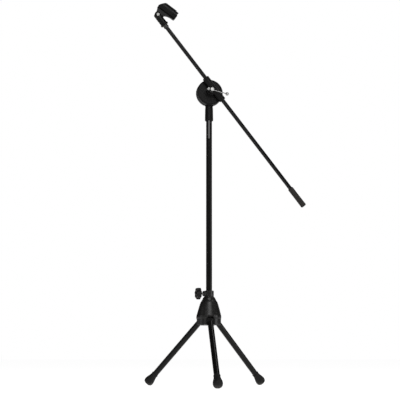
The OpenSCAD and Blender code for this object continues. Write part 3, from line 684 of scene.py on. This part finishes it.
def clip_base_field(x, y, z):
    """The clip's socket and fork in the boom's frame, with pockets for its screw and nut."""
    up = z - PIVOT_S
    socket = drum(x, y, z, BASE_R, BASE_S, SLOT_S + 2, 1.0)
    ears = both(np.hypot(x, up) - BASE_R, np.abs(y) - BASE_R)
    below = both(np.maximum(np.abs(x), np.abs(y)) - BASE_R, slab(z, SLOT_S - 6, PIVOT_S))
    ears = both(union(ears, below), np.hypot(x, y) - BASE_R - 0.2, 1.2)
    foot = drum(x, y, z, BASE_FOOT_R, BASE_S, BASE_S + BASE_FOOT_H, 0.9)
    body = union(union(socket, ears, 0.6), foot, 0.6)
    body = cut(body, both(np.abs(y) - FORK_GAP / 2, SLOT_S - z), 0.5)
    body = cut(body, drum(x, y, z, SOCKET_BORE_R, BASE_S - 4, SOCKET_BORE_TOP), 0.5)
    body = cut(body, np.hypot(x, up) - PIVOT_BORE_R, 0.2)
    body = cut(body, both(np.hypot(x, up) - SCREW_HEAD_R, y + BASE_R - SCREW_HEAD_T), 0.3)
    return cut(body, both(hexagon(x, up, CLIP_NUT_POCKET), BASE_R - CLIP_NUT_T - y), 0.3)


def fin_outline():
    """The web between barrel and hinge eye, in the barrel's own plane."""
    left = [(-9.9, 3.2), (-11.6, 10), (-15, 20), (-17, 28)]
    top = [(0, 34), (44, 26), (BARREL_END - 1.2, 21.5)]
    sweep = [math.radians(90 * f / 12) for f in range(13)]
    hollow = [(BARREL_END - 3 - 30 * math.sin(a), 20.5 - 11.3 * (1 - math.cos(a))) for a in sweep]
    return left + top + hollow + [(10.4, 9), (9.8, 3)]


def clip_barrel_field(x, y, z):
    """The C-shaped barrel on its fin and hinge eye, with its slanted start and stepped end."""
    rise = z - BARREL_RISE
    rho = np.hypot(y, rise)
    rim = both(rho - BARREL_R, slab(x, BARREL_END - RIM_LENGTH, BARREL_END))
    outer = union(rho - BARREL_R + RIM_STEP, rim, 0.3)
    body = both(outer, slab(x, BARREL_START, BARREL_END), 0.8)
    flat = union(np.hypot(x, z) - EYE_R, outline(x, z, fin_outline()), 1.0)
    web = both(flat, np.abs(y) - TONGUE_T / 2, 0.7)
    body = union(body, web, 1.6)
    body = cut(body, rho - BARREL_BORE_R, 0.5)
    body = cut(body, both(np.abs(y) - SLIT_W / 2, -rise), 0.8)
    ahead, above = x + START_CUT_X, rise + START_CUT_Z
    body = cut(body, ahead * math.sin(START_LEAN) - above * math.cos(START_LEAN), 0.8)
    body = cut(body, both(ahead, slab(z, 10, 40)), 0.5)
    body = cut(body, both(BARREL_END - END_STEP_LENGTH - x, END_STEP_Z - rise), 0.8)
    return cut(body, np.hypot(x, z) - PIVOT_BORE_R, 0.2)


def microphone_clip():
    low, high = (-15, -15, BASE_S - 2), (15, 15, PIVOT_S + 14)
    base = moulded("clip_socket", clip_base_field, low, high, 0.5, boom)
    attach(base, "boom")
    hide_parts("clip_base")
    dress(base, clip_black)
    low, high = (-27, -19, -12), (BARREL_END + 2, 19, BARREL_RISE + 19)
    barrel = moulded("clip_holder", clip_barrel_field, low, high, 0.55, clip)
    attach(barrel, "clip")
    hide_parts("clip_barrel")
    dress(barrel, clip_black)


# ---- Clutch bolt -------------------------------------------------------------

SHAFT_R, SHAFT_END = 4.0, 18.5
RING_CUT_R, RING_CUT_OUT, RING_CUT_BACK = 0.6, 0.35, 2.2


def bolt_field(x, y, z):
    """Shaft, and a round head drilled across for the tee bar, in the head's frame."""
    shaft = drum(x, z, y, SHAFT_R, HEAD_Y - 2, SHAFT_END, 0.5)
    body = union(shaft, drum(x, z, y, HEAD_R, HEAD_Y - HEAD_T, HEAD_Y, 1.2), 0.4)
    bar = Vector(joints["tee_bar_slide"]["axis"])
    along, up = bar.dot(right), bar.z
    hole = np.hypot(x * up - z * along, y - HEAD_Y + HEAD_T / 2) - BAR_R - 0.1
    ring_r = np.hypot(x, z) - HEAD_R - RING_CUT_OUT
    groove = np.hypot(ring_r, y - HEAD_Y + RING_CUT_BACK) - RING_CUT_R
    return cut(cut(body, groove, 0.15), hole, 0.35)


def bolt():
    wide = HEAD_R + 1
    low, high = (-wide, HEAD_Y - HEAD_T - 1, -wide), (wide, 20, wide)
    piece = moulded("drilled_bolt", bolt_field, low, high, 0.4, head)
    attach(piece, "tee")
    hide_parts("clutch_bolt")
    dress(piece, chrome)


# ---- Material parts ----------------------------------------------------------


def new_material(name, **constants):
    """A material with these constants on its shader's own sockets."""
    made = bpy.data.materials.new(name)
    made.use_nodes = True
    for key, value in constants.items():
        socket = key.replace("_", " ").title().replace("Ior", "IOR")
        made.node_tree.nodes["Principled BSDF"].inputs[socket].default_value = value
    return made


def node(tree, kind, inputs, **settings):
    """A new node with its settings, and its inputs given as values or links."""
    made = tree.nodes.new("ShaderNode" + kind)
    for key, value in settings.items():
        setattr(made, key, value)
    for key, value in inputs.items():
        if isinstance(value, bpy.types.NodeSocket):
            tree.links.new(value, made.inputs[key])
        else:
            made.inputs[key].default_value = value
    return made


def spots(tree, stretch=(1, 1, 1)):
    """Coordinates in metres, fixed to the object, and squeezed by stretch."""
    where = node(tree, "TexCoord", {}).outputs["Object"]
    return node(tree, "Mapping", {"Vector": where, "Scale": stretch}).outputs["Vector"]


def noise(tree, scale, detail=2.0, stretch=(1, 1, 1)):
    """Cloudy noise with this many waves to the metre."""
    inputs = {"Vector": spots(tree, stretch), "Scale": scale, "Detail": detail}
    return node(tree, "TexNoise", inputs).outputs["Fac"]


def cells(tree, scale):
    """Distance to the nearest of many scattered points, this many to the metre."""
    made = node(tree, "TexVoronoi", {"Vector": spots(tree), "Scale": scale}, feature="F1")
    return made.outputs["Distance"]


def edges(tree, low=0.51, high=0.58):
    """1 on sharp outer edges, 0 on flat and hollow ones."""
    pointiness = node(tree, "NewGeometry", {}).outputs["Pointiness"]
    return ranged(tree, pointiness, low, high, 0, 1)


def near_floor(tree, height):
    """1 at the floor, falling to 0 at this height."""
    where = node(tree, "SeparateXYZ", {"Vector": spots(tree)}).outputs["Z"]
    return ranged(tree, where, 0, height, 1, 0)


def ranged(tree, value, low, high, to_low, to_high):
    """The value with low to high spread over to_low to to_high, and held at the ends."""
    ends = {"Value": value, "From Min": low, "From Max": high, "To Min": to_low, "To Max": to_high}
    return node(tree, "MapRange", ends).outputs["Result"]


def times(tree, a, b):
    return node(tree, "Math", {0: a, 1: b}, operation="MULTIPLY").outputs["Value"]


def mixed(tree, share, first, second):
    """A colour between two, each a link or a colour."""
    ends = {0: share, 6: padded(first), 7: padded(second)}
    return node(tree, "Mix", ends, data_type="RGBA").outputs[2]


def padded(colour):
    return colour if isinstance(colour, bpy.types.NodeSocket) else (*colour, 1)


def shade(colour, factor):
    return tuple(c * factor for c in colour)


def clouded(tree, fac, colour, dark, light, low=0.35, high=0.65):
    """The colour drifting between a darker and a lighter shade as fac goes from low to high."""
    share = ranged(tree, fac, low, high, 0, 1)
    return mixed(tree, share, shade(colour, dark), shade(colour, light))


def finish_nodes(made, colour, roughness, heights):
    """Links colour, roughness and bumps (height, depth in metres, strength) to the shader."""
    tree = made.node_tree
    shader = tree.nodes["Principled BSDF"]
    tree.links.new(colour, shader.inputs["Base Color"])
    tree.links.new(roughness, shader.inputs["Roughness"])
    normal = None
    for height, depth, strength in heights:
        inputs = {"Height": height, "Distance": depth, "Strength": strength}
        if normal:
            inputs["Normal"] = normal
        normal = node(tree, "Bump", inputs).outputs["Normal"]
    tree.links.new(normal, shader.inputs["Normal"])
    return made


# ---- Materials ---------------------------------------------------------------

DUST = (0.21, 0.195, 0.175)


def moulded_plastic(name, colour, rough, grain_depth=0.00006, specular=0.17):
    """Black moulding: spark-eroded grain, faint clouds, edges rubbed a little brighter."""
    made = new_material(name, Specular_IOR_Level=specular)
    tree = made.node_tree
    cloud = noise(tree, 38, 4)
    worn = times(tree, edges(tree), ranged(tree, noise(tree, 260, 5), 0.42, 0.62, 0, 1))
    base = clouded(tree, cloud, colour, 0.8, 1.22)
    base = mixed(tree, worn, base, shade(colour, 2.3))
    roughness = ranged(tree, cloud, 0.3, 0.7, rough - 0.06, rough + 0.06)
    heights = [
        (noise(tree, 110, 2), 0.0004, 0.05),
        (noise(tree, 1700, 2), grain_depth, 0.35),
    ]
    return finish_nodes(made, base, roughness, heights)


def enamel(name, colour, rough, peel, coat=0.0, **more):
    """Paint on steel tube: orange peel, fine specks of dust in the film, faint rub marks."""
    made = new_material(name, Coat_Weight=coat, Coat_Roughness=0.06, **more)
    tree = made.node_tree
    cloud = noise(tree, 22, 4)
    specks = ranged(tree, cells(tree, 240), 0.05, 0.09, 1, 0)
    rubbed = ranged(tree, noise(tree, 90, 6, (1, 1, 0.12)), 0.6, 0.72, 0, 1)
    base = clouded(tree, cloud, colour, 0.85, 1.15)
    base = mixed(tree, times(tree, rubbed, 0.35), base, shade(colour, 1.9))
    roughness = ranged(tree, rubbed, 0, 1, rough, rough + 0.07)
    heights = [
        (noise(tree, 420, 2), 0.0002, peel),
        (specks, 0.00004, 0.3),
        (noise(tree, 2600, 1), 0.00002, peel * 3),
    ]
    return finish_nodes(made, base, roughness, heights)


def rubber(name, colour, dust_height):
    """Matte rubber with a chalky bloom, fine pores, and floor dust low down."""
    shine = {"Specular_IOR_Level": 0.15, "Sheen_Weight": 0.02, "Sheen_Roughness": 0.6}
    made = new_material(name, **shine)
    tree = made.node_tree
    bloom = noise(tree, 70, 5)
    base = clouded(tree, bloom, colour, 0.8, 1.3, high=0.7)
    patches = ranged(tree, noise(tree, 300, 5), 0.4, 0.6, 0.2, 1)
    worn = times(tree, edges(tree, 0.505, 0.56), patches)
    base = mixed(tree, times(tree, worn, 0.7), base, shade(colour, 2.2))
    flecks = ranged(tree, noise(tree, 420, 6), 0.45, 0.7, 0, 0.6)
    dust = times(tree, near_floor(tree, dust_height), flecks)
    base = mixed(tree, dust, base, DUST)
    roughness = ranged(tree, bloom, 0.3, 0.7, 0.5, 0.68)
    heights = [(noise(tree, 180, 3), 0.0004, 0.08), (noise(tree, 1500, 2), 0.00008, 0.35)]
    return finish_nodes(made, base, roughness, heights)


def foam(name, colour):
    """Closed-cell foam: small shallow cells with painted shade in their hollows, and handled patches pressed
    smooth.
    """
    made = new_material(name, Specular_IOR_Level=0.2, Sheen_Weight=0.1, Sheen_Roughness=0.5)
    tree = made.node_tree
    handled = noise(tree, 60, 4)
    pore = cells(tree, 900)
    # The colour darkens towards each cell's hollow, following the bump's dimples: painted shade in the pores.
    base = clouded(tree, pore, colour, 0.62, 1.15, 0.1, 0.7)
    base = mixed(tree, ranged(tree, handled, 0.55, 0.75, 0, 0.5), base, shade(colour, 1.5))
    roughness = ranged(tree, handled, 0.35, 0.7, 0.86, 0.7)
    heights = [
        (noise(tree, 150, 3), 0.0006, 0.08),
        (pore, 0.0003, 0.45),
        (noise(tree, 2800, 1), 0.00005, 0.3),
    ]
    return finish_nodes(made, base, roughness, heights)


def metal(name, colour, rough, lines, spread=0.06, line_depth=0.05):
    """Bare or plated metal, with its polishing lines squeezed along one axis."""
    made = new_material(name, Metallic=1.0)
    tree = made.node_tree
    cloud = noise(tree, 120, 4)
    line = noise(tree, 900, 3, lines)
    base = clouded(tree, cloud, colour, 0.93, 1.04)
    spot = ranged(tree, noise(tree, 650, 5), 0.62, 0.75, 0, 0.5)
    base = mixed(tree, spot, base, shade(colour, 0.7))
    roughness = ranged(tree, line, 0.3, 0.7, rough - spread / 2, rough + spread)
    heights = [(cloud, 0.0002, 0.03), (line, 0.00003, line_depth)]
    return finish_nodes(made, base, roughness, heights)


hub_black = moulded_plastic("hub_black_plastic", (0.0095, 0.0093, 0.0089), 0.28, 0.00003, 0.26)
clutch_black = moulded_plastic(
    "clutch_black_plastic", (0.0036, 0.0035, 0.0034), 0.36, specular=0.1
)
clip_black = moulded_plastic("clip_black_plastic", (0.0022, 0.0022, 0.0021), 0.34, specular=0.11)
plug_black = moulded_plastic("leg_plug_plastic", (0.006, 0.0059, 0.0057), 0.42)
knob_black = moulded_plastic("knob_black_plastic", (0.008, 0.0078, 0.0076), 0.26, 0.00003)
nylon = moulded_plastic("black_nylon", (0.028, 0.027, 0.026), 0.5)
fibre = rubber("friction_fibre", (0.035, 0.031, 0.028), 0.001)
satin_coat = enamel(
    "satin_powder_coat", (0.0035, 0.0034, 0.0031), 0.3, 0.06, Specular_IOR_Level=0.09
)
leg_coat = enamel(
    "leg_powder_coat", (0.0035, 0.0034, 0.0031), 0.22, 0.05, Specular_IOR_Level=0.17
)
gloss_coat = enamel(
    "gloss_enamel", (0.002, 0.002, 0.002), 0.13, 0.035, 0.8, Specular_IOR_Level=0.05
)
boom_coat = enamel(
    "boom_enamel", (0.0018, 0.0018, 0.0018), 0.16, 0.035, 0.3, Specular_IOR_Level=0.05
)
black_oxide = enamel("black_oxide", (0.022, 0.022, 0.022), 0.36, 0.06, Metallic=0.5)
boot_rubber = rubber("boot_rubber", (0.0062, 0.006, 0.0059), 0.012)
grip_foam = foam("grip_foam", (0.014, 0.0123, 0.0112))
chrome = metal("chrome", (0.33, 0.33, 0.322), 0.25, (1, 1, 0.2))
zinc = metal("zinc_plate", (0.2, 0.2, 0.194), 0.32, (1, 0.08, 1), 0.1, 0.12)
brass = metal("turned_brass", (0.66, 0.47, 0.2), 0.24, (1, 1, 0.15), 0.1, 0.1)


def dress(piece, look):
    """Gives a piece its material."""
    piece.data.materials.clear()
    piece.data.materials.append(look)


def dress_cad():
    """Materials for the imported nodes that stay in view."""
    looks = {
        satin_coat: ["mast_lower_tube"],
        leg_coat: ["leg_tube_1", "leg_tube_2", "leg_tube_3"],
        gloss_coat: ["mast_upper_tube"],
        boom_coat: ["boom_tube"],
        plug_black: ["leg_plug_1", "leg_plug_2", "leg_plug_3"],
        black_oxide: ["boom_stud"],
        nylon: ["clamp_pad", "mast_end_plug"],
        fibre: ["friction_washer"],
        chrome: ["tee_bar"],
        zinc: ["hinge_pins", "knob_insert", "knob_stud", "mast_coupler", "mast_top_stud"]
        + ["clutch_nut", "clip_screw", "clip_nut"],
        brass: ["neck_insert", "clip_insert"],
    }
    for look, names in looks.items():
        for name in names:
            item = frame["nodes"][name]
            for slot in item.material_slots:
                slot.material = look


# ---- Studio ------------------------------------------------------------------

FLOOR_REACH, FLOOR_GREY, FLOOR_GLOW = 30.0, 0.3, 0.97
SKY_AHEAD, SKY_BEHIND, SKY_SEEN = 0.08, 0.01, 1.0
CAMERA_BACK, CAMERA_HEIGHT, CAMERA_PITCH = 2.8, 0.09, 9.286
CAMERA_LENS, CAMERA_SENSOR, CAMERA_SHIFT = 79.757, 36, (-0.0226, 0.03)


def floor():
    """A pale matte floor with a glow of its own, so that it is evenly white."""
    far = FLOOR_REACH
    corners = [(-far, -far, 0), (far, -far, 0), (far, far, 0), (-far, far, 0)]
    mesh = bpy.data.meshes.new("studio_floor")
    mesh.from_pydata(corners, [], [(0, 1, 2, 3)])
    item = bpy.data.objects.new("studio_floor", mesh)
    bpy.context.scene.collection.objects.link(item)
    looks = {
        "Base_Color": (FLOOR_GREY, FLOOR_GREY, FLOOR_GREY, 1),
        "Roughness": 1.0,
        "Specular_IOR_Level": 0.0,
        "Emission_Color": (1, 1, 1, 1),
        "Emission_Strength": FLOOR_GLOW,
    }
    mesh.materials.append(new_material("studio_floor", **looks))


def area_light(name, spot, target, size, power):
    """A soft light at a spot, facing a target, both in metres from the mast's foot."""
    data = bpy.data.lights.new(name, "AREA")
    data.shape = "RECTANGLE"
    data.size, data.size_y = size
    data.energy = power
    item = bpy.data.objects.new(name, data)
    item.location = Vector((mast_x, mast_y, 0)) + Vector(spot)
    item.rotation_mode = "QUATERNION"
    item.rotation_quaternion = (Vector(target) - Vector(spot)).to_track_quat("-Z", "Y")
    bpy.context.scene.collection.objects.link(item)


def sky():
    """White where it is seen. As a light it is dim, and dimmest behind the stand."""
    made = bpy.data.worlds.new("studio")
    made.use_nodes = True
    tree = made.node_tree
    tree.nodes.clear()
    where = node(tree, "TexCoord", {}).outputs["Generated"]
    facing = node(tree, "SeparateXYZ", {"Vector": where}).outputs["Y"]
    lit = ranged(tree, facing, -0.7, 0.8, SKY_AHEAD, SKY_BEHIND)
    seen = node(tree, "LightPath", {}).outputs["Is Camera Ray"]
    strength = node(tree, "Mix", {0: seen, 2: lit, 3: SKY_SEEN}).outputs[0]
    light = node(tree, "Background", {"Color": (1, 1, 1, 1), "Strength": strength})
    node(tree, "OutputWorld", {"Surface": light.outputs["Background"]})
    bpy.context.scene.world = made


def lights():
    area_light("high_softbox", (0.3, -2.2, 2.6), (0, 0, 0.3), (1.5, 1.3), 40)
    area_light("front_strip", (0.1, -2.7, 1.65), (0, 0, 0.8), (3.4, 0.45), 17)
    area_light("right_panel", (2.6, -1.0, 0.75), (0, 0, 0.4), (2.0, 1.2), 22)
    area_light("left_strip", (-2.0, -2.3, 0.9), (0, 0, 0.4), (0.3, 1.5), 3)
    area_light("left_panel", (-2.8, -0.3, 0.7), (0, 0, 0.3), (1.0, 1.2), 5)
    area_light("top_light", (1.2, 0.4, 2.6), (0, 0, 0.9), (0.8, 0.8), 7)


def camera():
    """The photo's viewing angle: low in front of the mast, tilted up a little."""
    data = bpy.data.cameras.new("camera")
    data.lens, data.sensor_width = CAMERA_LENS, CAMERA_SENSOR
    data.shift_x, data.shift_y = CAMERA_SHIFT
    data.clip_end = 2 * FLOOR_REACH
    item = bpy.data.objects.new("camera", data)
    item.location = (mast_x, mast_y - CAMERA_BACK, CAMERA_HEIGHT)
    item.rotation_euler = (math.radians(90 + CAMERA_PITCH), 0, 0)
    bpy.context.scene.collection.objects.link(item)
    bpy.context.scene.camera = item


# ---- Scene -------------------------------------------------------------------

camera()
hub()
clamping_knob()
ferrule()
boots()
clutch_halves()
pressure_cup()
bar_knobs()
bolt()
grip()
microphone_clip()
dress_cad()
floor()
sky()
lights()
bpy.context.scene.view_settings.view_transform = "Standard"
